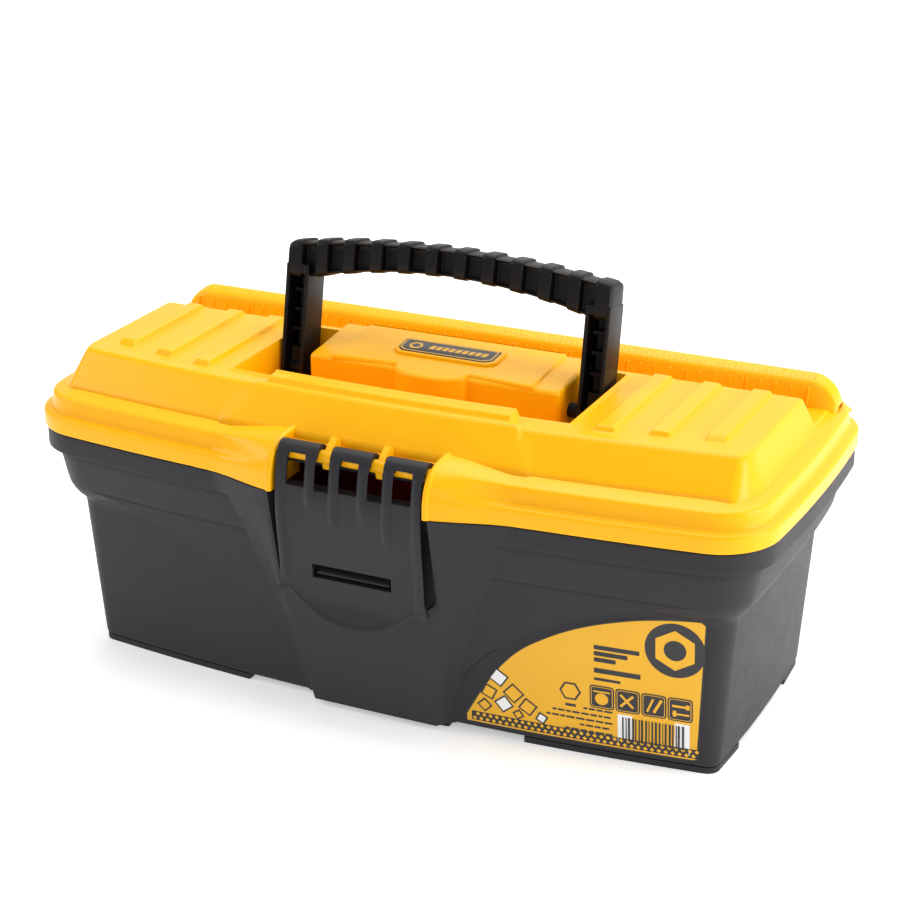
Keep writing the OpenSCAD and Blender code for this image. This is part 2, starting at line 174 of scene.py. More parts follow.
class Heap:
    """Grids and loops of points in millimetres, gathered into one mesh."""

    def __init__(self):
        self.points, self.faces, self.count = [], [], 0

    def grid(self, p, keep=None, flip=False, round_rows=False, round_cols=False, caps=False):
        """p is rows x cols x 3. keep masks faces; caps closes the first and last row."""
        rows, cols = p.shape[:2]
        f = quads(rows, cols, round_rows, round_cols)
        if keep is not None:
            f = f[keep.reshape(-1)]
        if flip:
            f = f[:, ::-1]
        self.points.append(p.reshape(-1, 3))
        self.faces.extend((f + self.count).tolist())
        if caps:
            first = np.arange(cols) + self.count
            last = first + (rows - 1) * cols
            a, b = (first[::-1], last) if not flip else (first, last[::-1])
            self.faces.extend([a.tolist(), b.tolist()])
        self.count += rows * cols
        return self

    def block(self, shape, bottom, top, r=0.8, n=4):
        """A solid over an anticlockwise outline. bottom and top are heights as functions of
        x and y; the top edge is rounded by r: inset r(1-cos a), lowered r(1-sin a)."""
        shape = np.asarray(shape, float)
        d = np.roll(shape, -1, 0) - np.roll(shape, 1, 0)
        d /= np.hypot(d[:, 0], d[:, 1])[:, None]
        inward = np.stack([-d[:, 1], d[:, 0]], -1)
        rows = [np.column_stack([shape, bottom(*shape.T)])]
        for a in np.linspace(0, math.pi / 2, n + 1):
            q = shape + inward * r * (1 - math.cos(a))
            rows.append(np.column_stack([q, top(*q.T) - r * (1 - math.sin(a))]))
        return self.grid(np.array(rows), round_cols=True, caps=True)

    def mesh(self, name, body, slot, finish, instead=(), angle=32.0):
        """The gathered points as one smooth-shaded object in metres that rides on a body."""
        me = bpy.data.meshes.new(name)
        me.from_pydata(np.concatenate(self.points) * MM, [], self.faces)
        me.validate()
        me.shade_smooth()
        me.set_sharp_from_angle(angle=math.radians(angle))
        me.materials.append(finish)
        ob = bpy.data.objects.new(name, me)
        bpy.context.scene.collection.objects.link(ob)
        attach(ob, body)
        if instead:
            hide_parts(*instead)
        return ob


def solidify(ob, thickness):
    """Gives a one-sided surface its wall, on the side away from its faces."""
    m = ob.modifiers.new("wall", "SOLIDIFY")
    m.thickness, m.offset = thickness * MM, -1.0
    m.use_even_offset = False


def bevel(ob, width, segments=2, angle=35.0):
    """Rounds the edges that turn more than angle."""
    m = ob.modifiers.new("edges", "BEVEL")
    m.width, m.segments, m.limit_method = width * MM, segments, "ANGLE"
    m.angle_limit = math.radians(angle)
    m.use_clamp_overlap = True


def swept(profile, front=None):
    """A wall profile of [u, z] rows carried round the plan: rows x stations x 3."""
    rows = []
    for u, z in profile:
        q = outline(u, front)
        rows.append(np.column_stack([q, np.full(len(q), z)]))
    return np.array(rows)


def flat(z):
    """A height that is the same everywhere."""
    return lambda x, y: np.full(np.shape(x), float(z))


def box_shape(x0, x1, y0, y1, r=0.6, n=4):
    """A rectangle with rounded corners, anticlockwise."""
    return soften([[x0, y0], [x1, y0], [x1, y1], [x0, y1]], r, n, closed=True)


def rest(node):
    """A CAD node's box in millimetres."""
    lo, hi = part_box(node)
    return np.array(lo) / MM, np.array(hi) / MM


# ---------- finishes ----------


class Signal:
    """A socket's value while a finish is written: sums on it become Math nodes."""

    def __init__(self, tree, socket):
        self.tree, self.socket = tree, socket

    def math(self, operation, a, b):
        n = self.tree.nodes.new("ShaderNodeMath")
        n.operation = operation
        for i, v in enumerate((a, b)):
            if isinstance(v, Signal):
                self.tree.links.new(v.socket, n.inputs[i])
            else:
                n.inputs[i].default_value = v
        return Signal(self.tree, n.outputs[0])

    def __add__(self, o):
        return self.math("ADD", self, o)

    __radd__ = __add__

    def __sub__(self, o):
        return self.math("SUBTRACT", self, o)

    def __rsub__(self, o):
        return self.math("SUBTRACT", o, self)

    def __mul__(self, o):
        return self.math("MULTIPLY", self, o)

    __rmul__ = __mul__


class Finish:
    """A procedural material written as expressions on one tree."""

    def __init__(self, name):
        self.material = bpy.data.materials.new(name)
        self.material.use_nodes = True
        self.tree = self.material.node_tree
        self.shader = self.tree.nodes["Principled BSDF"]

    def node(self, kind, settings=None, **values):
        """Any node: its settings first, then the values or links of its sockets by name."""
        n = self.tree.nodes.new(kind)
        for k, v in (settings or {}).items():
            setattr(n, k, v)
        self.feed(n, values)
        return n

    def feed(self, n, values):
        """Links or sets the sockets of a node, by name with _ for a space."""
        for k, v in values.items():
            s = n.inputs[k.replace("_", " ")]
            if isinstance(v, Signal):
                self.tree.links.new(v.socket, s)
            else:
                s.default_value = v

    def out(self, n, name=0):
        return Signal(self.tree, n.outputs[name])

    def place(self):
        """Object coordinates."""
        return self.out(self.node("ShaderNodeTexCoord"), "Object")

    def noise(self, scale, detail=3.0, rough=0.55):
        """Fractal noise on Object coordinates, 0 to 1."""
        return self.out(self.node("ShaderNodeTexNoise", None, Vector=self.place(), Scale=scale,
                                  Detail=detail, Roughness=rough))

    def blend(self, a, b, factor):
        """Colour a to colour b by factor."""
        n = self.node("ShaderNodeMix", {"data_type": "RGBA"})
        for i, v in ((0, factor), (6, a), (7, b)):
            if isinstance(v, Signal):
                self.tree.links.new(v.socket, n.inputs[i])
            else:
                n.inputs[i].default_value = v if i == 0 else (*v[:3], 1)
        return self.out(n, 2)

    def bump(self, height, strength, distance):
        """A height in metres turned into a normal."""
        return self.out(self.node("ShaderNodeBump", None, Strength=strength, Distance=distance,
                                  Height=height))

    def set(self, **values):
        """Links or sets the shader's own sockets and gives back the material."""
        self.feed(self.shader, values)
        return self.material


def shade(colour, k):
    """The same colour k times as bright."""
    return tuple(min(1.0, c * k) for c in colour[:3])


def satin_plastic(name, colour, rough=0.38, grain=0.25, spread=0.06, scale=900.0, coat=0.0, ior=1.3):
    """Injection-moulded plastic: slow drifts of tone where the melt cooled, a fine spark-eroded
    grain in the normal with painted shade darkening its pits in the colour, and roughness that follows both."""
    f = Finish(name)
    drift = f.noise(14.0, 2.0)
    cloud = f.noise(60.0, 3.0)
    grit = f.noise(scale, 2.0, 0.6)
    tone = drift * 0.65 + cloud * 0.35
    base = f.blend(shade(colour, 1 - spread), shade(colour, 1 + spread), tone)
    # painted shade: the colour darkens where the grain's bump height is low, in its pits
    base = f.blend(base, shade(colour, 0.86), (1 - grit) * (0.12 + grain * 0.2))
    return f.set(Base_Color=base, Roughness=rough + (grit - 0.5) * 0.12 + (cloud - 0.5) * 0.1,
                 Normal=f.bump(grit, grain, 0.00012), IOR=ior, Coat_Weight=coat,
                 Coat_Roughness=0.25)


def leathery_plastic(name, colour, rough=0.5, spread=0.1):
    """The tub's moulded grain: small pebbles with painted shade darkening their valleys, over slow drifts of
    tone.
    """
    f = Finish(name)
    cells = f.node("ShaderNodeTexVoronoi", {"feature": "SMOOTH_F1"}, Vector=f.place(),
                   Scale=620.0, Smoothness=0.6)
    pebble = f.out(cells, "Distance")
    drift = f.noise(11.0, 2.0)
    cloud = f.noise(75.0, 3.0)
    grit = f.noise(1500.0, 2.0)
    tone = drift * 0.5 + cloud * 0.5
    base = f.blend(shade(colour, 1 - spread), shade(colour, 1 + spread), tone)
    # painted shade: the colour lightens with the pebbles' height, so their valleys come out darker
    base = f.blend(base, shade(colour, 1.35), pebble * 0.35)
    height = pebble * 0.75 + grit * 0.25
    return f.set(Base_Color=base, Roughness=rough + (cloud - 0.5) * 0.14 + (pebble - 0.4) * 0.12,
                 Normal=f.bump(height, 0.32, 0.00018), IOR=1.3)


def printed_sheet(name, colour):
    """Glossy printed film with a slight paper cockle."""
    f = Finish(name)
    cockle = f.noise(45.0, 2.0)
    fibre = f.noise(1200.0, 2.0)
    base = f.blend(shade(colour, 0.95), shade(colour, 1.05), cockle * 0.6 + fibre * 0.4)
    return f.set(Base_Color=base, Roughness=0.3 + fibre * 0.1, Normal=f.bump(cockle, 0.12, 0.0003),
                 Coat_Weight=0.1, Coat_Roughness=0.2, IOR=1.35)


def drawn_steel(name):
    """Bright wire: fine lines along X and a few dull patches."""
    f = Finish(name)
    at = f.node("ShaderNodeMapping", None, Vector=f.place(), Scale=(30.0, 2500.0, 2500.0))
    lines = f.out(f.node("ShaderNodeTexNoise", None, Vector=f.out(at), Scale=1.0, Detail=3.0))
    patch = f.noise(180.0, 2.0)
    base = f.blend((0.42, 0.42, 0.43), (0.7, 0.7, 0.72), lines * 0.7 + patch * 0.3)
    return f.set(Base_Color=base, Roughness=0.22 + patch * 0.2, Metallic=1.0,
                 Normal=f.bump(lines, 0.15, 0.0001))


# ---------- what a user may change ----------


class ToolboxSizes(PropertyGroup):
    """The toolbox's sizes"""

    wall: FloatProperty(name="Wall", description="Thickness of the lid's skin",
                        default=2.0 * MM, unit="LENGTH")
    ridge_rise: FloatProperty(name="Ridge rise", description="Height of the six ridges on the lid",
                              default=1.9 * MM, unit="LENGTH")
    grip_ribs: IntProperty(name="Grip ribs", description="Ribs along the handle's grip",
                           default=12, min=6, max=16)
    handle_lean: FloatProperty(name="Handle lean", description="How far the raised handle leans back",
                               default=math.radians(10.9), subtype="ANGLE")


def colour_choice(name, description, default):
    """A colour that a user may change."""
    return FloatVectorProperty(name=name, description=description, default=default,
                               subtype="COLOR", min=0, max=1)


class ToolboxColours(PropertyGroup):
    """The colours of its mouldings and print"""

    lid: colour_choice("Lid", "Orange-yellow of the lid", (1.0, 0.47, 0.0015))
    tub: colour_choice("Tub", "Dark grey of the tub", (0.024, 0.0232, 0.0265))
    latch: colour_choice("Latch", "Dark grey of the latch", (0.0245, 0.0243, 0.0285))
    handle: colour_choice("Handle", "Black of the handle", (0.005, 0.0045, 0.0045))
    tray: colour_choice("Tray", "Deep red of the tray", (0.42, 0.018, 0.012))
    sheet: colour_choice("Label", "Yellow of the printed label", (0.84, 0.44, 0.02))
    ink: colour_choice("Ink", "Dark print on the label and the badge", (0.03, 0.029, 0.031))


def finish(kind):
    """The named finish, made the first time it is asked for."""
    made = bpy.data.materials.get(kind)
    if made:
        return made
    c = bpy.context.scene.toolbox_colours
    makers = {
        "lid orange": lambda: satin_plastic(kind, tuple(c.lid), 0.32, 0.12, 0.03, 1100.0, 0.0, 1.31),
        "tub grey": lambda: leathery_plastic(kind, tuple(c.tub)),
        "latch grey": lambda: satin_plastic(kind, tuple(c.latch), 0.4, 0.16, 0.08, 1000.0),
        "handle black": lambda: satin_plastic(kind, tuple(c.handle), 0.42, 0.2, 0.1, 900.0),
        "tray red": lambda: satin_plastic(kind, tuple(c.tray), 0.4, 0.14, 0.08, 950.0),
        "label film": lambda: printed_sheet(kind, tuple(c.sheet)),
        "label ink": lambda: printed_sheet(kind, tuple(c.ink)),
        "label white": lambda: printed_sheet(kind, (0.86, 0.86, 0.86)),
        "pin steel": lambda: drawn_steel(kind),
    }
    return makers[kind]()


# ---------- the tub ----------


def arc_x(z):
    """Half width of the upper band where it sweeps down to the middle."""
    t = np.clip((z - 2.5) / 71.9, 0, 0.9985)
    return 29 + 104 * (1 - (1 - t * t) ** 0.72)


def column_foot(z):
    """Half width of the raised middle column where it meets the wall."""
    return 31 + 32 * np.clip(z / 97, 0, 1.04) ** 1.35


def column_crest(z):
    """Half width of the column's flat front."""
    return 27 + 8 * np.clip((z - 2.5) / 55, 0, 1) + np.clip((z - 57.5) / 42, 0, 1)


def bed_x(z):
    """Half width of the latch's bed in the column, with two rounded lower corners."""
    corner = 25.6 + np.sqrt(np.clip(64 - (66 - z) ** 2, 0, 64))
    return np.where(z < 58, 25.5, np.where(z > 66, 33.6, corner))


def bowed(x, u):
    """Y of the bowed front at distance u outside the corner centres."""
    return FRONT_Y + FRONT_R - np.sqrt((FRONT_R + u) ** 2 - x * x)


def tub_front_columns(z):
    """X of every column on the right half of the front, one row per height: the columns follow
    the bed's edge, the middle column's crest and foot, and the band's arc."""
    z = z[:, None]
    bed, crest, foot = bed_x(z), column_crest(z), column_foot(z)
    band = np.clip(arc_x(z), foot + 1.2, 131.2)
    s = lambda n: np.linspace(0, 1, n)[None, :]
    parts = [
        (bed - 0.9) * s(9),
        bed + np.array([[-0.45, 0.0, 0.45]]),
        crest + np.array([[-0.3, 0.0, 0.5]]),
        crest + 0.5 + (foot - crest - 1.2) * s(12)[:, 1:],
        foot + np.array([[-0.3, 0.1, 0.5]]),
        foot + 0.5 + (band - foot - 0.9) * s(14)[:, 1:],
        band + np.array([[-0.1, 0.25, 0.6, 0.95, 1.3, 1.6]]),
        band + 1.6 + (133 - band - 1.6) * s(30)[:, 1:],
    ]
    return np.concatenate([np.broadcast_to(p, (len(z), p.shape[1])) for p in parts], 1)


def tub_front(z, u, outside):
    """The front rows. The band: the wall line pushed out to the straight line from the foot to
    the step, inside the arc. The column: a plane that leans out 20 in 97.5, easing to the wall
    between crest and foot. The bed: a level at y = -79 cut into the column."""
    half = tub_front_columns(z)
    x = np.concatenate([-half[:, :0:-1], half], 1)
    a = np.abs(x)
    zz, uu = z[:, None], u[:, None]
    xw = x + np.sign(x) * CORNER_X * uu / FRONT_R * (a / CORNER_X) ** 4
    y = bowed(xw, uu)
    band_u = 5.7 + (zz - 2.5) / 71.5 * 10.9
    inside = 1 - ease(0.0, 1.4, a - np.clip(arc_x(zz), column_foot(zz) + 1.2, 131.2))
    inside = inside * (zz < 74.2)
    y1 = np.minimum(y, y * (1 - inside) + bowed(xw, band_u) * inside)
    plane = -68.3 - (zz - 2.5) * 20 / 97.5
    t = np.clip((a - column_crest(zz)) / (column_foot(zz) - column_crest(zz)), 0, 1)
    g = 0.6 * (1 - t) + 0.4 * (1 - ease(0, 1, t))
    y2 = np.minimum(y1, y1 * (1 - g) + plane * g)
    bed = (1 - ease(-0.45, 0.45, a - bed_x(zz))) * ease(57.4, 58.4, zz)
    y3 = y2 * (1 - bed) + np.minimum(np.maximum(y2, BED_Y), y1) * bed
    return points(xw, np.where(outside[:, None], y3, y), zz)


def make_tub():
    """The tub's section, outside and inside, carried round the plan: front rows from tub_front,
    the rest at distance u from the corner centres."""
    out = np.array([[2.0, 2.5], [5.7, 2.5], [10.5, 67], [13.6, 69.6], [16.6, 74], [19.4, 88],
                    [19.4, 91.6], [24, 91.6], [24, 100.2], [21.0, 100.2]])
    radii = np.array([0, 1.6, 3.0, 1.0, 3.0, 1.2, 0.5, 0.7, 0.9, 0])
    inn = np.array([[17.2, 100.2], [17.2, 88.4], [14.5, 74.8], [11.9, 71.2], [8.3, 68.2],
                    [3.6, 4.7], [0.8, 4.7]])
    outer = soften(out, radii, 5)
    fine = []
    for a, b in zip(outer[:-1], outer[1:]):
        step = 0.7 if 56 < (a[1] + b[1]) / 2 < 76 else 1.8
        n = max(1, int(math.ceil(np.hypot(*(b - a)) / step)))
        fine.append(a + (b - a) * np.linspace(0, 1, n + 1)[:-1, None])
    outer = np.concatenate([*fine, outer[-1:]])
    inner = resample(soften(inn, 1.2, 4), 8)
    rows = np.concatenate([outer, inner])
    outside = np.arange(len(rows)) < len(outer)
    front = tub_front(rows[:, 1], rows[:, 0], outside)
    ends = np.array([-CORNER_X, CORNER_X])
    rest_of = np.array([np.column_stack([q, np.full(len(q), z)]) for q, z in
                        ((outline(u, ends)[2:], z) for u, z in rows)])
    p = np.concatenate([front, rest_of], 1)
    return Heap().grid(p, round_cols=True, caps=True).mesh(
        "tub_shell", "tub_body", "body_plastic", finish("tub grey"), ("tub", "apron", "pylon"), 28)


# ---------- the label ----------


def on_wall(x, z, lift):
    """A point of the front wall x along and z up, lifted off it: past the bow's end it goes
    round the corner by arc length."""
    x, z = np.asarray(x, float), np.asarray(z, float)
    u = 5.7 + (z - 2.5) / 64.5 * 4.8 + lift
    end = CORNER_X * (1 + u / FRONT_R)
    s = np.maximum(x - end, 0) / u
    a = -math.pi / 2 + FRONT_A + s
    px = np.where(s > 0, CORNER_X + u * np.cos(a), x)
    py = np.where(s > 0, CORNER_Y + u * np.sin(a), bowed(np.minimum(x, end), u))
    return points(px, py, z)


def printed(heap, shape, lift):
    """One flat printed shape of [x, z] points, anticlockwise."""
    p = np.asarray(shape, float)
    q = on_wall(p[:, 0], p[:, 1], lift)
    heap.points.append(q)
    heap.faces.append(list(range(heap.count, heap.count + len(q))))
    heap.count += len(q)


def bar(x0, x1, z0, z1, r=0.2):
    """A rectangle of print with corners of radius r."""
    return box_shape(x0, x1, z0, z1, r, 3)


def disc(x, z, r, n=32, turn=0.0):
    """A regular shape of n points at distance r from its middle."""
    return arc(x, z, r, np.arange(n) * 2 * math.pi / n + turn)


def stroke(x0, z0, x1, z1, w):
    """A straight stroke of width w with square ends."""
    d = np.array([x1 - x0, z1 - z0], float)
    d /= np.hypot(*d)
    k = np.array([-d[1], d[0]]) * w / 2
    a, b = np.array([x0, z0]), np.array([x1, z1])
    return np.array([a - k, b - k, b + k, a + k])


def make_label():
    """The sheet: rows between its lower edge and a curved upper edge, z = low + (top - low) t,
    laid on the wall. The print is flat shapes in layers above it."""
    edge = soften([[38.5, 8.5], [44.5, 19.5], [53, 33], [62.5, 43], [78, 52.6], [92, 58.6],
                   [109, 63.4], [124, 65.6], [134, 66.2]], 7, 5)
    xs = np.unique(np.concatenate([edge[:, 0], np.linspace(39, 134, 60)]))
    top = np.interp(xs, edge[:, 0], edge[:, 1])
    right = 1 - ease(132.8, 134, xs) * 0.02
    bottom = 5.6 + 0.5 * ease(133, 134, xs)
    rows = np.linspace(0, 1, 24)[:, None]
    z = bottom + (top * right - bottom) * rows
    x = np.broadcast_to(xs, z.shape) + (z - 66) / 60 * 3.0 * ease(110, 134, xs)

    def sheet(grow, lift):
        zz = z + (rows * 2 - 1) * grow
        xx = x + grow * (ease(120, 134, xs) - (1 - ease(39, 50, xs)))
        return on_wall(xx, zz, lift)

    Heap().grid(sheet(0.75, 0.2)).mesh("label_border", "tub_body", "label_paper",
                                       finish("label ink"))
    Heap().grid(sheet(0.0, 0.3)).mesh("label_sheet", "tub_body", "label_paper",
                                      finish("label film"), ("label",))
    dark, light, white, over = Heap(), Heap(), Heap(), Heap()
    # a hex nut in a round mark
    printed(dark, disc(122.6, 52.6, 11.6, 48), INK)
    printed(light, disc(122.6, 52.6, 8.6, 6, math.pi / 6), KNOCKOUT)
    printed(over, disc(122.6, 52.6, 4.3, 32), OVERPRINT)
    # heading bars
    for i in range(3):
        printed(dark, bar(91.2, 109.0 - 4.6 * i, 48.0 - 2.7 * i, 49.9 - 2.7 * i, 0.5), INK)
    printed(dark, bar(91.2, 109.4, 37.7, 39.9), INK)
    printed(dark, bar(91.2, 101.6, 34.4, 35.6), INK)
    # a plain hexagonal ring over a short bar
    printed(dark, disc(81.6, 27.6, 4.4, 6), INK)
    printed(light, disc(81.6, 27.6, 3.5, 6), KNOCKOUT)
    printed(dark, bar(79.6, 83.8, 20.8, 22.0), INK)
    # four tool tiles
    for i in range(4):
        x0 = 89.4 + 10.15 * i
        printed(dark, bar(x0, x0 + 9.7, 22.0, 32.2, 1.4), INK)
        printed(light, bar(x0 + 0.55, x0 + 9.15, 22.55, 31.65, 1.1), KNOCKOUT)
        printed(over, bar(x0 + 0.85, x0 + 8.85, 22.85, 31.35, 0.9), OVERPRINT)
    top_marks = Heap()
    printed(top_marks, disc(94.2, 26.4, 2.6, 24), SIGNS)
    printed(top_marks, bar(90.9, 97.6, 29.2, 29.9), SIGNS)
    for a in (stroke(101.6, 24.6, 106.6, 29.8, 1.0), stroke(101.6, 29.8, 106.6, 24.6, 1.0),
              stroke(112.0, 24.2, 114.4, 30.2, 0.8), stroke(114.6, 24.2, 117.6, 30.2, 1.1),
              stroke(121.6, 28.6, 128.2, 28.6, 1.0), stroke(121.8, 25.2, 128.2, 25.2, 0.8),
              stroke(122.6, 24.0, 122.6, 26.6, 1.3), stroke(127.6, 27.6, 127.6, 29.7, 1.5)):
        printed(top_marks, a, SIGNS)
    # small print as bars
    for i, w in enumerate((11.5, 24.0, 26.5, 13.0, 19.0)):
        zc = 21.0 - 2.55 * i
        k = 0.0
        while k < w - 0.8:
            step = 1.6 + 1.9 * abs(math.sin(3.1 * i + 1.7 * k))
            x0, x1 = 98.3 - w + k, 98.3 - w + min(k + step, w)
            printed(dark, bar(x0, x1, zc - 0.42, zc + 0.42, 0.1), INK)
            k += step + 0.55
    # a white tile with stripes
    printed(white, bar(100.4, 128.4, 7.4, 20.9, 0.3), INK)
    k, i = 102.2, 0
    while k < 126.4:
        w = 0.28 + 0.55 * abs(math.sin(2.3 * i + 0.6))
        printed(over, bar(k, k + w, 9.3, 19.9, 0.02), OVERPRINT)
        k += w + 0.35 + 0.5 * abs(math.sin(1.7 * i + 1.1))
        i += 1
    # loose square tiles
    tiles = ((52.4, 27.8, 4.4, 0.2), (58.4, 21.8, 4.6, 0.05), (48.2, 20.6, 3.9, 0.35),
             (54.3, 16.2, 4.2, -0.1), (64.2, 16.8, 4.2, 0.2), (46.2, 14.2, 3.3, 0.0),
             (69.8, 12.9, 2.9, 0.3), (60.2, 12.6, 2.6, -0.2))
    for i, (x0, z0, r, turn) in enumerate(tiles):
        printed(dark, disc(x0, z0, r, 4, turn), INK + 0.004 * i)
        printed(white if i % 3 == 0 else light, disc(x0, z0, r - 0.95, 4, turn), KNOCKOUT + 0.004 * i)
    # the lattice strip along the bottom
    n = 34
    seam = np.linspace(40.5, 131.2, n + 1)
    dark.grid(np.array([on_wall(seam, np.full(n + 1, z1), INK) for z1 in (6.3, 10.4)]))
    for i in range(n):
        for k in (0, 1):
            x0 = 41.8 + 2.67 * i + 1.33 * k
            printed(light, disc(x0, 7.35 + 2.0 * k, 0.92, 4, 0), KNOCKOUT)
    for heap, name, film in ((dark, "label_print", "label ink"), (light, "label_knockout", "label film"),
                             (white, "label_white", "label white"), (over, "label_overprint", "label ink"),
                             (top_marks, "label_tool_signs", "label film")):
        heap.mesh(name, "tub_body", "label_paper", finish(film), angle=60)


# ---------- the lid ----------

RIM = [[25, 100.5], [25, 106.8], [24.2, 107.6], [21.4, 108.3], [20.7, 114], [19.8, 114.9], [14.4, 115.95],
       [9, 117.0], [9, 114.9], [14.4, 113.7], [18.3, 112.9], [19.1, 106], [22.8, 105.4], [22.8, 100.5]]


def make_lid_skirt():
    """The rim's ring carried round the plan, open where the latch and its bar sit."""
    ring = soften(RIM, 0.9, 5, closed=True)
    front = stations(-CORNER_X, CORNER_X, 3.0, (-33.4, -32.6), (32.6, 33.4))
    p = swept(ring, front)
    u = (ring[:, 0] + np.roll(ring[:, 0], -1)) / 2
    x = p[0, :, 0]
    xm = (x + np.roll(x, -1)) / 2
    at_front = (np.abs(xm) < 33) & (p[0, :, 1] < -60)
    keep = ~((u[:, None] > 14.6) & at_front[None, :])
    h = Heap().grid(p, keep=keep, round_rows=True, round_cols=True)
    xs = np.linspace(-33, 33, 23)
    lip = np.array([np.column_stack([xs, bowed(xs, 14.6), np.full(23, z)]) for z in (113.6, 116.0)])
    h.grid(lip)
    return h.mesh("lid_skirt", "lid_body", "lid_plastic", finish("lid orange"), ("lid_rim",), 30)


def lid_height(x, v, rise):
    """Height of the lid's top. The plateau at 129.5 falls away at 8.3 times a rounded corner
    distance r, r squared being ((|x| - 139.5) / 3.5)^2 + ((-v - 49.5) / 8)^2 past each edge;
    behind v = 17.5 it drops to the channel; then ridges, front bar, raised front panel and the
    handle well are added with eased edges."""
    a = np.abs(x)
    r = np.hypot(np.maximum(a - 139.5, 0) / 3.5, np.maximum(-v - 49.5, 0) / 8)
    fall = 129.5 - 8.3 * (r - 1)
    back = 129.5 - ease(17.0, 21.8, v) * 12.5
    z = lower(lower(np.full_like(r, 129.5), fall, 1.4), np.minimum(back, fall + 40), 0.05)
    panel_edge = 56.4 + np.clip((-v - 57.5) / 11.5, 0, 1) * 10
    panel = (1 - ease(-0.8, 0.8, a - panel_edge)) * ease(54.6, 56.8, -v)
    z = z + 0.95 * panel
    for k in range(3):
        c = 87.1 + 20.35 * k
        along = ease(-51.2 + 2.0 * k, -48.6 + 2.0 * k, v) * (1 - ease(15.0, 17.2, v))
        z = z + rise * (1 - ease(3.0, 4.7, np.abs(a - c))) * along
    front_bar = (1 - ease(51.6, 53.4, a)) * ease(-56.4, -53.6, v) * (1 - ease(-48.4, -47.2, v) * 0.2)
    z = z + 3.0 * front_bar * (v < -40)
    lip = (1 - ease(72.4, 75.4, a)) * ease(-50.6, -48.4, v) * (1 - ease(12.4, 15.0, v)) * 0.7
    z = z + lip
    well = (1 - ease(71.4, 72.9, a)) * ease(-48.2, -46.9, v) * (1 - ease(11.4, 12.8, v))
    return z * (1 - well) + 109.0 * well


def make_lid_top():
    """Height over a grid whose front rows follow the bow: y = v + sag(x) s(v)."""
    s = bpy.context.scene.toolbox_sizes
    edges = [(71.4, 72.9), (51.6, 53.4), (72.4, 75.4), (138.5, 144.5)]
    for k in range(3):
        c = 87.1 + 20.35 * k
        edges += [(c - 4.7, c - 3.0), (c + 3.0, c + 4.7)]
    x = np.unique(np.concatenate([stations(-152.4, 152.4, 3.0, *both(edges)),
                                  np.linspace(54, 69, 24), np.linspace(-69, -54, 24)]))
    x = x[np.concatenate([[True], np.diff(x) > 0.08])]
    v = stations(-71.5, 58.0, 3.0, (-58.8, -56.2), (-56.4, -53.6), (-51.2, -48.6), (-48.2, -46.9),
                 (11.4, 12.8), (12.4, 15.0), (15.0, 17.2), (17.0, 21.8))
    xx, vv = np.meshgrid(x, v)
    z = lid_height(xx, vv, s.ridge_rise / MM)
    sag = FRONT_R - np.sqrt(FRONT_R ** 2 - np.minimum(np.abs(xx), 140) ** 2)
    y = vv + sag * np.clip((-vv - 5) / 40, 0, 1)
    under = z < 111.9
    near_well = (np.abs(xx) < 80) & (vv > -50)
    keep = ~(under[:-1, :-1] & under[1:, :-1] & under[:-1, 1:] & under[1:, 1:]) | near_well[:-1, :-1]
    p = points(xx, y, np.where(near_well, z, np.maximum(z, 112.0)))
    ob = Heap().grid(p, keep=keep).mesh("lid_top", "lid_body", "lid_plastic", finish("lid orange"),
                                        ("lid",), 40)
    solidify(ob, s.wall / MM)
    return ob


def make_shoulders():
    """The two humps beside the latch. Their section runs from a full rounded brow next to the
    latch to the rim's own section, by weights that fall with x."""
    brow = np.array([[31.3, 100.5], [31.2, 106.5], [30.0, 111.7], [27.2, 115.4], [22.8, 118.0],
                     [16.5, 119.0], [6, 119.2]])
    rim = np.array([[24.6, 100.5], [24.6, 106.4], [23.6, 107.4], [21.0, 108.2], [20.2, 114],
                    [19.2, 114.8], [6, 117.2]])
    fine = np.linspace(0, 1, 40)

    def smooth(p):
        for _ in range(2):
            p = soften(p, 40, 4)
        d = np.concatenate([[0], np.cumsum(np.hypot(*np.diff(p, axis=0).T))])
        return np.column_stack([np.interp(fine * d[-1], d, p[:, 0]), np.interp(fine * d[-1], d, p[:, 1])])

    brow, rim = smooth(brow), smooth(rim)
    x = np.concatenate([[32.0, 32.15, 32.5, 33.0], np.linspace(33.6, 35.4, 6), np.linspace(36.2, 72, 28)])
    w = 1 - ease(33.5, 62.0, x) * 0.5 - np.clip((x - 33.5) / 32.0, 0, 1) * 0.5
    tight = np.array([1.0, 0.55, 0.15, 0.0] + [0.0] * 34)
    u = brow[:, 0, None] * w + rim[:, 0, None] * (1 - w) - tight * 0.9
    z = brow[:, 1, None] * w + rim[:, 1, None] * (1 - w) - tight * 0.9 * (brow[:, 1, None] > 108)
    bead = 0.7 * (1 - ease(33.9, 34.9, x))
    u = u + bead * (1 - ease(112, 118, z))
    z = np.maximum(z + bead * ease(110, 116, z), 100.5)
    h = Heap()
    for m in (1, -1):
        p = points(x * m, bowed(x[None, :], u), z)
        h.grid(p, flip=m < 0)
        side = p[:, 0]
        back = side.copy()
        back[:, 1] = np.maximum(back[:, 1], -66.0)
        h.grid(np.stack([back, side], 1), flip=m < 0)
    return h.mesh("lid_shoulders", "lid_body", "lid_plastic", finish("lid orange"),
                  ("lid_shoulder",), 40)


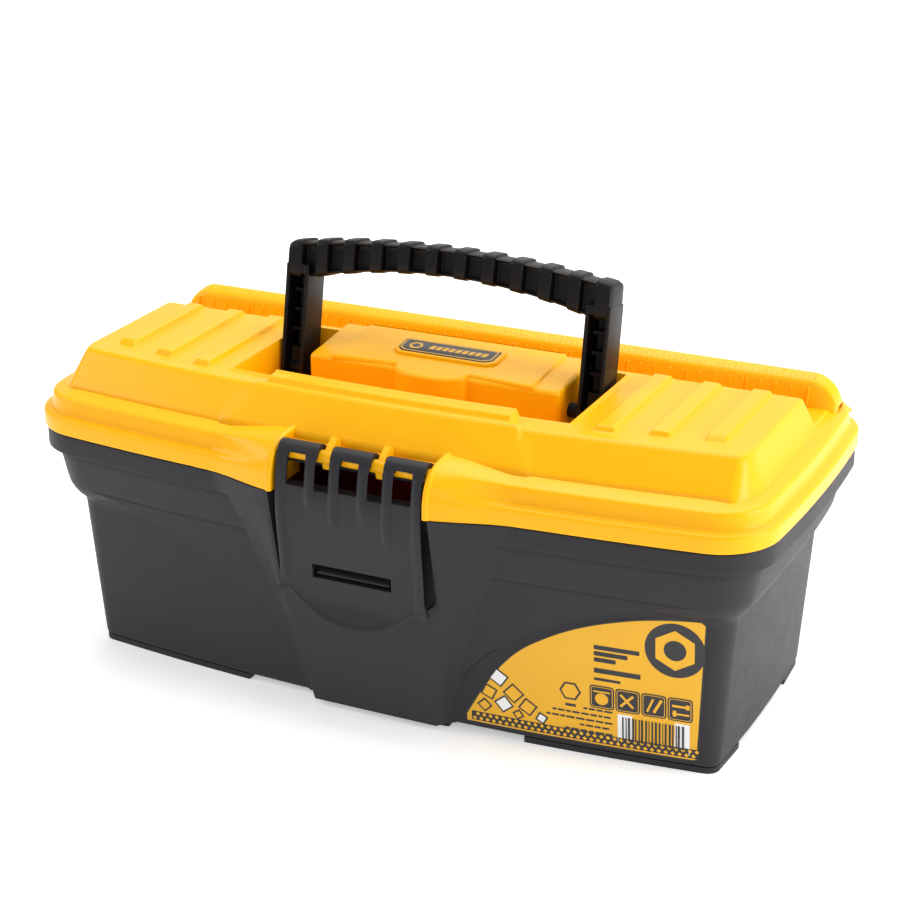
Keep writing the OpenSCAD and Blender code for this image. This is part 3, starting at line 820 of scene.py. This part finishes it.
def make_boss():
    """The raised middle: a block with lower ends, a half-round front bulge and the badge's pad,
    all with tops that rise 3 in 32 towards the back."""
    slope = lambda lift: (lambda x, y: 130.0 + lift + (np.clip(y, -15, 17) + 15) * 3 / 32
                          - np.clip(y - 17, 0, 9) * 0.2 - np.clip(-15 - y, 0, 8) * 0.05)
    h = Heap()
    h.block(box_shape(-55.5, 55.5, -15, 20.2, 3.0, 6), flat(108.5), slope(-1.2), 1.8, 6)
    a = np.linspace(0, math.pi, 40)
    front = np.column_stack([-16.0 * np.cos(a), -13.5 - 8.4 * np.sin(a) ** 0.8])
    mid = [[44.5, -14.9], [44.5, 19.8], [-44.5, 19.8], [-44.5, -14.9]]
    shape = np.concatenate([front, soften(mid, 1.0, 4)])
    h.block(shape, flat(108.5), slope(0.0), 1.5, 6)
    h.block(soften([[-19.5, -5], [19.5, -5], [23, -2], [23, 9.4], [-23, 9.4], [-23, -2]], 1.2, 4, closed=True),
            slope(-0.8), slope(1.1), 0.6, 4)
    h.mesh("lid_boss", "lid_body", "lid_plastic", finish("lid orange"), ("boss",), 40)
    b = Heap()
    plate = [[-18.4, -3.6], [18.4, -3.6], [21.2, -1.2], [21.2, 7.6], [-21.2, 7.6], [-21.2, -1.2]]
    b.block(soften(plate, 0.8, 3, closed=True), slope(0.9), slope(1.35), 0.2, 2)
    b.mesh("badge_plate", "lid_body", "badge_film", finish("label ink"), ("badge",), 40)
    g = Heap()

    def mark(p):
        """One flat shape lying on the badge."""
        p = np.asarray(p, float)
        q = np.column_stack([p, slope(1.39)(p[:, 0], p[:, 1])])
        g.points.append(q)
        g.faces.append(list(range(g.count, g.count + len(q))))
        g.count += len(q)

    edge = np.array(plate) * [0.965, 0.9] + [0, 0.2]
    inner = np.array(plate) * [0.94, 0.8] + [0, 0.4]
    n = len(edge)
    for i in range(n):
        j = (i + 1) % n
        mark([edge[i], edge[j], inner[j], inner[i]])
    ring, core = disc(-14.6, 2.1, 3.1, 6), disc(-14.6, 2.1, 1.9, 6)
    for i in range(6):
        j = (i + 1) % 6
        mark([ring[i], ring[j], core[j], core[i]])
    for i in range(9):
        x0 = -8.6 + 2.9 * i
        mark([[x0, 0.6], [x0 + 2.1, 0.6], [x0 + 2.9, 3.8], [x0 + 0.8, 3.8]])
    g.mesh("badge_marks", "lid_body", "badge_film", finish("label film"), angle=60)


def make_rule():
    """The rule's section run along X with rounded ends: heights and depths shrink by
    f = sqrt(1 - ((|x| - 138) / 12.2)^2) past |x| = 138. Raised strokes stand on its front slope
    and its top, each inch doubled."""
    sec = soften([[40.5, 115.5], [42.9, 125.9], [44.4, 127.4], [50.2, 128.7], [52.2, 127.6],
                  [54.4, 115.5]], 1.1, 5)
    t = np.linspace(0, 1, 14)
    x = np.concatenate([np.linspace(0, 138, 47)[:-1], 138 + 12.0 * np.sin(t * math.pi / 2)])
    x = np.concatenate([-x[:0:-1], x])
    f = np.sqrt(np.clip(1 - (np.maximum(np.abs(x) - 138, 0) / 12.2) ** 2, 0, 1))
    y = 47.4 + (sec[:, 0, None] - 47.4) * (0.55 + 0.45 * f)
    z = 115.5 + (sec[:, 1, None] - 115.5) * f
    h = Heap().grid(points(x, y, z))
    h.grid(points(x, 47.4 + (y - 47.4) * 0.68, 115.5 + (z - 115.5) * 0.82), flip=True)

    def stroke_on_slope(xc, w, z0, z1):
        """A thin bar lying on the front slope."""
        zs = np.array([z0, z0 + 0.25, z1 - 0.25, z1])
        ys = 40.5 + (zs - 115.5) * 2.4 / 10.4
        lift = np.array([0.0, 0.7, 0.7, 0.0])
        cols = []
        for dx, k in ((-w, 0), (-w * 0.6, 1), (w * 0.6, 1), (w, 0)):
            cols.append(np.column_stack([np.full(4, xc + dx), ys + 0.1 - lift * k, zs]))
        h.grid(np.stack(cols, 1))

    def stroke_on_top(xc, w, y0, y1):
        """A thin bar lying on the top."""
        ys = np.array([y0, y0 + 0.2, y1 - 0.2, y1])
        zs = 127.4 + (ys - 44.4) * 1.3 / 5.8
        lift = np.array([-0.1, 0.28, 0.28, -0.1])
        cols = []
        for dx, k in ((-w, -0.3), (-w * 0.6, 1), (w * 0.6, 1), (w, -0.3)):
            cols.append(np.column_stack([np.full(4, xc + dx), ys, zs + np.where(k > 0, lift, -0.1)]))
        h.grid(np.stack(cols, 1))

    for i in range(45):
        xc = -141.9 + INCH / 4 * i
        if abs(xc) > 143:
            continue
        if i % 4 == 0:
            for d in (-0.85, 0.85):
                stroke_on_slope(xc + d, 0.42, 117.6, 124.8)
        elif i % 4 == 2:
            stroke_on_slope(xc, 0.5, 119.4, 124.8)
        else:
            stroke_on_slope(xc, 0.45, 121.2, 124.8)
    for i in range(-55, 56):
        end = 49.6 if i % 5 == 0 else (48.2 if i % 5 in (2, 3) else 47.2)
        stroke_on_top(INCH / 10 * i, 0.26, 45.2, end)
    return h.mesh("lid_rule", "lid_body", "lid_plastic", finish("lid orange"), ("rule",), 35)


# ---------- the latch ----------


def latch_curve(z):
    """Y of the latch's face at height z: a fifth-order curve through its bow and its lip."""
    zs = np.array([114.6, 106, 99, 90, 78, 70, 60, 52, 46])
    ys = np.array([-84.4, -86.2, -87.1, -86.8, -85.7, -85.0, -84.8, -85.4, -86.4])
    return np.polyval(np.polyfit(zs - 80, ys, 5), z - 80)


def latch_low(a):
    """Height of the lower edge: 45.7 + 16.3 (|x| / 31)^2.1, turning down into an ear at the end."""
    return 45.7 + 16.3 * (a / 31) ** 2.1 - 5.0 * ease(26.5, 31.5, a)


def make_latch():
    """A skin that wraps the bar, falls down the front and ends in a curved lip. Fins are eased
    ridges in x times a taper in z; loops, their openings and the catch's slot are left out."""
    near = np.array([3.9, 8.3, 10.0, 10.6, 11.3, 12.0, 12.6, 14.3, 18.7, 26.5, 28.4, 29.0, 29.6, 30.2, 30.6])
    cols = np.unique(np.concatenate([np.linspace(-31, 31, 63), near, -near]))
    th = np.radians(np.linspace(-75, 172, 22))
    wrap = arc(BAR_Y, BAR_Z, 4.8, th)
    edges = [113.2, 103.7, 103, 102.4, 101.6, 71.6, 65.8]
    zs = np.unique(np.concatenate([np.linspace(63, 113.5, 36), edges]))[::-1]
    zs = zs[np.concatenate([[True], np.diff(zs) < -0.15])]
    a = np.abs(cols)
    z = np.concatenate([wrap[:, 1], zs])[:, None] + np.zeros(len(cols))
    s = np.linspace(0, 1, 15)[1:, None]
    z = np.concatenate([z, 63 - s * (63 - latch_low(a)[None, :])])
    plate = (np.arange(len(z)) >= len(wrap))[:, None]
    wrap_y = np.concatenate([wrap[:, 0], np.zeros(len(z) - len(wrap))])[:, None]
    y = np.where(plate, latch_curve(z), wrap_y)

    def strut(x0, low, full, width=1.7):
        """A rounded ridge at x0 that fades out between the heights full and low."""
        return np.exp(-(np.abs(cols - x0) / width) ** 4) * ease(low, full, z)

    ridge = strut(-16.5, 93, 102) + strut(6.1, 91, 102) + strut(16.5, 84, 90) * np.where(z < 101, 0.75, 1)
    ridge = ridge + strut(-6.1, 88, 93) * np.where(z < 101, 0.75, 1)
    ridge = ridge + strut(-29.2, 61, 68, 1.9) + strut(29.2, 58, 64, 1.9)
    shield = np.exp(-((a - 11.3) / 4.4) ** 2) * ease(84, 96, z) * (1 - ease(99, 103, z)) * 0.5
    frame_line = np.exp(-((z - latch_low(a)[None, :] - 1.6) / 1.1) ** 2) * 0.3
    dish = (1 - ease(0, 1, (cols / 25) ** 2))[None, :] * np.exp(-((z - 57) / 5.0) ** 2) * 0.7
    y = y - plate * (1.15 * ridge + shield + frame_line - dish)
    ear = ease(29, 31, a)[None, :] * np.exp(-((z - 58.5) / 3.0) ** 2) * 1.3 * plate
    x = np.sign(cols)[None, :] * (a[None, :] + ear)
    p = points(x, y, z)
    xm, zm = (cols[:-1] + cols[1:]) / 2, (z[:-1, :-1] + z[1:, 1:]) / 2
    am = np.abs(xm)[None, :]
    gap = (np.abs(am - 11.3) < 3) & (zm > 103)
    from_loop = np.minimum(np.minimum(np.abs(xm), np.abs(xm - 22.6)), np.abs(xm + 22.6))[None, :]
    hole = (from_loop < 3.9) & (zm > 103.7) & (np.arange(len(zm))[:, None] >= 20)
    slot = (am < 17) & (zm > 65.8) & (zm < 71.6)
    ob = Heap().grid(p, keep=~(gap | hole | slot), flip=True).mesh(
        "latch_plate", "latch_body", "latch_plastic", finish("latch grey"), ("latch",), 50)
    solidify(ob, 2.3)
    bevel(ob, 0.75, 3, 50)
    return ob


def make_catch():
    """The hook behind the slot: a thin tooth with a ramp, rounded by a bevel."""
    y = np.array([BED_Y, -81.0, -83.8, -84.0, -83.0, BED_Y])
    z = np.array([65.0, 67.0, 67.2, 67.9, 68.7, 69.2])
    p = points(np.array([[-15.5], [15.5]]), y, z)
    ob = Heap().grid(p, round_cols=True, caps=True, flip=True).mesh(
        "catch_hook", "tub_body", "body_plastic", finish("tub grey"), ("catch",))
    bevel(ob, 0.35, 2)
    return ob


# ---------- the handle ----------


def leaned(p):
    """Handle coordinates, from the pivots with Z up the legs, leaned back about the pivots."""
    a = bpy.context.scene.toolbox_sizes.handle_lean
    y, z = p[..., 1], p[..., 2]
    return points(p[..., 0], PIVOT_Y + y * math.cos(a) + z * math.sin(a),
                  PIVOT_Z - y * math.sin(a) + z * math.cos(a))


def make_handle():
    """The grip: a squarish section, |c|^(2/n) powers of sine and cosine, between an arched top
    and underside, standing 1.5 proud at each rib. The legs: a channel section run down Z whose
    pocket closes at the cross ribs, with a round foot about the pivot."""
    n = bpy.context.scene.toolbox_sizes.grip_ribs
    pitch = 135.4 / (n - 1)
    centres = -67.7 + pitch * np.arange(n)
    half = np.full(n, 2.95)
    half[[0, -1]] = 3.6
    lines = [np.linspace(-71.3, 71.3, 60)]
    for c, w in zip(centres, half):
        for e in (-w, w):
            lines.append(c + e + np.array([-0.9, -0.55, -0.3, -0.05, 0.2, 0.45, 0.7]) * np.sign(e) * -1)
    x = np.unique(np.round(np.concatenate(lines), 3))
    x = x[(np.abs(x) <= 71.3)]
    x = x[np.concatenate([[True], np.diff(x) > 0.06])]
    rib = np.zeros_like(x)
    for c, w in zip(centres, half):
        rib = np.maximum(rib, 1 - ease(w - 0.55, w + 0.1, np.abs(x - c)))
    end = np.sqrt(np.clip(1 - (np.maximum(np.abs(x) - 70.2, 0) / 1.25) ** 2, 0.05, 1))
    top = 58.2 - (474 - np.sqrt(474.0 ** 2 - x * x)) - 1.0 * (1 - rib)
    top = top - 1.1 * ease(68.6, 71.4, np.abs(x)) ** 2
    under = 45.7 - (246 - np.sqrt(246.0 ** 2 - np.minimum(np.abs(x), 62) ** 2)) + 0.5 * (1 - rib)
    mid, tall = (top + under) / 2, (top - under) / 2 * (0.85 + 0.15 * end)
    ph = np.linspace(0, 2 * math.pi, 37)[:-1] + 0.087
    c, s = np.cos(ph), np.sin(ph)
    e = 2 / 5.2
    cy, sz = np.sign(c) * np.abs(c) ** e, np.sign(s) * np.abs(s) ** e
    proud = 7.4 * (0.72 + 0.28 * end)
    waist = 0.52 - 0.46 * ease(0.68, 0.86, np.abs(sz))[None, :]
    reach = proud[:, None] * (1 - (1 - rib[:, None]) * waist)
    p = points(x[:, None], reach * cy, mid[:, None] + tall[:, None] * sz)
    h = Heap().grid(leaned(p), round_cols=True, caps=True)
    zs = [-7.39 * math.cos(t) for t in np.linspace(0, math.pi / 2, 9)]
    edges = []
    for i in range(4):
        edges += [8.5 + 8.2 * i, 15.1 + 8.2 * i]
    edges = np.array(edges)
    z = np.unique(np.concatenate([zs, np.linspace(0, 43.5, 20), edges - 0.2, edges + 0.2]))
    pocket = np.zeros_like(z)
    for i in range(4):
        low = 8.3 + 8.2 * i
        pocket = np.maximum(pocket, ease(low, low + 0.4, z) * (1 - ease(low + 6.6, low + 7.0, z)))
    for m in (1, -1):
        rows = []
        for zi, k in zip(z, pocket):
            f = -1.2 + 4.65 * k if -4 < zi < 39.6 else -7.05
            sec = soften([[61, -7.4], [62.7, -7.4], [62.9, f], [69.5, f], [69.7, -7.4], [71.4, -7.4],
                          [71.4, 7.4], [61, 7.4]], 0.9, 4, closed=True)
            q = math.sqrt(max(0.0, 1 - (min(zi, 0) / 7.4) ** 2))
            rows.append(np.column_stack([sec[:, 0] * m, sec[:, 1] * max(q, 0.03), np.full(len(sec), zi)]))
        h.grid(leaned(np.array(rows)), round_cols=True, caps=True, flip=m < 0)
    return h.mesh("carry_handle", "handle_body", "handle_plastic", finish("handle black"), ("handle",), 38)


# ---------- the tray ----------


def make_tray():
    """The bowl's section carried round the plan, its rim rounded, and ribs across the floor."""
    t = rest("tray")[1][2]
    sec = soften([[0.5, 50], [5.6, 50], [6.8, 73.05], [13.2, 73.05], [15.4, t], [12.0, t], [11.8, t - 3.0],
                  [11.2, 74.9], [5.0, 74.9], [3.8, 51.8], [0.4, 51.8]], 1.0, 4)
    h = Heap().grid(swept(resample(sec, 9)), round_cols=True, caps=True)
    h.mesh("tray_bowl", "tray_body", "tray_plastic", finish("tray red"), ("tray",), 35)
    g = Heap()
    top = t - 5.5
    for x in (-58.0, 56.0):
        g.block(box_shape(x, x + 2, -56, 44.5, 0.8, 3), flat(51.6), flat(top), 0.7, 3)
    # the cross wall rises to a hand grip
    shape = [[-56, 51.6], [56, 51.6], [56, top], [40, top], [32, t - 3.2], [-32, t - 3.2],
             [-40, top], [-56, top]]
    outer = soften(shape, 3.0, 5, closed=True)
    for y, flip in ((-6.0, False), (-4.0, True)):
        pts = points(outer[:, 0], y, outer[:, 1])
        g.points.append(pts)
        f = list(range(g.count, g.count + len(pts)))
        g.faces.append(f[::-1] if flip else f)
        g.count += len(pts)
    band = points(outer[:, 0], np.array([[-4.0], [-6.0]]), outer[:, 1])
    g.grid(band, round_cols=True)
    g.mesh("tray_walls", "tray_body", "tray_plastic", finish("tray red"), ("tray_grip",), 35)


CAD_FINISH = {
    "feet": "tub grey", "tray_rests": "tub grey", "tub_knuckles": "tub grey",
    "latch_bar": "lid orange", "lid_knuckles": "lid orange", "hinge_pin_left": "pin steel",
    "hinge_pin_right": "pin steel", "handle_pin_left": "handle black", "handle_pin_right": "handle black",
}


def finish_cad_nodes():
    """Gives the plain nodes that stay in view their finishes."""
    for node, kind in CAD_FINISH.items():
        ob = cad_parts[node]
        if not ob.material_slots:
            ob.data.materials.append(finish(kind))
        for s in ob.material_slots:
            s.material = finish(kind)


# ---------- the stage ----------


def make_stage():
    """A pale floor that curves up into a backdrop, soft lamps, and the camera."""
    f = Finish("studio paper")
    soft = f.noise(3.0, 2.0)
    paper = f.set(Base_Color=f.blend((0.93, 0.93, 0.93), (0.96, 0.96, 0.96), soft), Roughness=0.9,
                  Emission_Color=(1, 1, 1, 1), Emission_Strength=0.4)
    a = np.linspace(0, math.pi / 2, 13)
    bend = points(1500 + 900 * np.sin(a), 900 - 900 * np.cos(a))
    yz = np.concatenate([[[-2500.0, 0.0]], bend, [[2400, 3000.0]]])
    h = Heap().grid(points(np.linspace(-3500, 3500, 15), yz[:, :1], yz[:, 1:]))
    me = bpy.data.meshes.new("studio_floor")
    me.from_pydata(np.concatenate(h.points) * MM, [], h.faces)
    me.shade_smooth()
    me.materials.append(paper)
    floor = bpy.data.objects.new("studio_floor", me)
    bpy.context.scene.collection.objects.link(floor)

    def lamp(name, at, to, size, power):
        """A square soft lamp turned towards a point."""
        light = bpy.data.lights.new(name, "AREA")
        light.shape, light.size, light.size_y, light.energy = "RECTANGLE", size, size, power
        ob = bpy.data.objects.new(name, light)
        bpy.context.scene.collection.objects.link(ob)
        d = np.array(to, float) - np.array(at, float)
        ob.location = at
        ob.rotation_mode = "QUATERNION"
        ob.rotation_quaternion = Vector(d).to_track_quat("-Z", "Y")

    lamp("overhead", (0.05, 0.35, 1.2), (0, 0, 0.1), 1.3, 16.0)
    lamp("key_left", (-1.2, -0.5, 0.8), (0, 0, 0.08), 0.7, 6.0)
    lamp("fill_right", (1.3, 0.1, 0.45), (0, 0, 0.08), 0.7, 13.0)
    lamp("front", (0.2, -1.7, 0.9), (0, 0, 0.08), 0.8, 4.0)
    bpy.context.scene.view_settings.view_transform = "Standard"
    world = bpy.data.worlds.new("studio")
    bpy.context.scene.world = world
    world.use_nodes = True
    world.node_tree.nodes["Background"].inputs[0].default_value = (1, 1, 1, 1)
    world.node_tree.nodes["Background"].inputs[1].default_value = 0.3

    az, el, roll, far = math.radians(25.8), math.radians(22.09), math.radians(-0.436), 0.91055
    back = Vector((math.sin(az) * math.cos(el), -math.cos(az) * math.cos(el), math.sin(el)))
    right = (-back).cross(Vector((0, 0, 1))).normalized()
    up = right.cross(-back)
    right, up = right * math.cos(roll) + up * math.sin(roll), up * math.cos(roll) - right * math.sin(roll)
    cam = bpy.data.cameras.new("camera")
    cam.lens, cam.sensor_width = 88.8, 36.0
    cam.clip_start, cam.clip_end = 0.05, 20.0
    ob = bpy.data.objects.new("camera", cam)
    bpy.context.scene.collection.objects.link(ob)
    at = Vector((0.00097, 0.00047, 0.09023)) + back * far
    ob.matrix_world = Matrix.Translation(at) @ Matrix((right, up, back)).transposed().to_4x4()
    bpy.context.scene.camera = ob


# ---------- the add-on ----------


class TOOLBOX_OT_tub(Operator):
    """Moulds the grey tub with its bowed band, middle column and rim"""
    bl_idname = "toolbox.tub"
    bl_label = "Tub"

    def execute(self, context):
        make_tub()
        make_catch()
        return {"FINISHED"}


class TOOLBOX_OT_label(Operator):
    """Lays the printed label on the right front panel"""
    bl_idname = "toolbox.label"
    bl_label = "Label"

    def execute(self, context):
        make_label()
        return {"FINISHED"}


class TOOLBOX_OT_lid(Operator):
    """Moulds the lid: skirt, top with ridges and well, shoulders, boss with its badge, and rule"""
    bl_idname = "toolbox.lid"
    bl_label = "Lid"

    def execute(self, context):
        make_lid_skirt()
        make_lid_top()
        make_shoulders()
        make_boss()
        make_rule()
        return {"FINISHED"}


class TOOLBOX_OT_latch(Operator):
    """Moulds the front latch with its three loops and slot"""
    bl_idname = "toolbox.latch"
    bl_label = "Latch"

    def execute(self, context):
        make_latch()
        return {"FINISHED"}


class TOOLBOX_OT_handle(Operator):
    """Moulds the ribbed carrying handle"""
    bl_idname = "toolbox.handle"
    bl_label = "Handle"

    def execute(self, context):
        make_handle()
        return {"FINISHED"}


class TOOLBOX_OT_tray(Operator):
    """Moulds the red tray with its dividing walls"""
    bl_idname = "toolbox.tray"
    bl_label = "Tray"

    def execute(self, context):
        make_tray()
        return {"FINISHED"}


class TOOLBOX_OT_fittings(Operator):
    """Gives the feet, tray rests, hinges, pins and latch bar their finishes"""
    bl_idname = "toolbox.fittings"
    bl_label = "Fittings"

    def execute(self, context):
        finish_cad_nodes()
        return {"FINISHED"}


class TOOLBOX_OT_stage(Operator):
    """Sets the pale floor, the soft lamps and the camera"""
    bl_idname = "toolbox.stage"
    bl_label = "Stage"

    def execute(self, context):
        make_stage()
        return {"FINISHED"}


STEPS = (TOOLBOX_OT_tub, TOOLBOX_OT_label, TOOLBOX_OT_lid, TOOLBOX_OT_latch, TOOLBOX_OT_handle,
         TOOLBOX_OT_tray, TOOLBOX_OT_fittings, TOOLBOX_OT_stage)


class TOOLBOX_PT_panel(Panel):
    """Lists the toolbox's sizes, colours and steps"""
    bl_idname = "TOOLBOX_PT_panel"
    bl_label = "Toolbox with tray"
    bl_space_type = "VIEW_3D"
    bl_region_type = "UI"
    bl_category = "Toolbox"

    def draw(self, context):
        for group in (context.scene.toolbox_sizes, context.scene.toolbox_colours):
            for name in group.__annotations__:
                self.layout.prop(group, name)
        for step in STEPS:
            self.layout.operator(step.bl_idname)


def register():
    for c in (ToolboxSizes, ToolboxColours, *STEPS, TOOLBOX_PT_panel):
        bpy.utils.register_class(c)
    bpy.types.Scene.toolbox_sizes = PointerProperty(type=ToolboxSizes)
    bpy.types.Scene.toolbox_colours = PointerProperty(type=ToolboxColours)


def unregister():
    del bpy.types.Scene.toolbox_sizes
    del bpy.types.Scene.toolbox_colours
    for c in (TOOLBOX_PT_panel, *reversed(STEPS), ToolboxColours, ToolboxSizes):
        bpy.utils.unregister_class(c)


def main():
    register()
    for step in STEPS:
        group, name = step.bl_idname.split(".")
        getattr(getattr(bpy.ops, group), name)()
    bpy.context.view_layer.update()


if __name__ == "__main__":
    main()
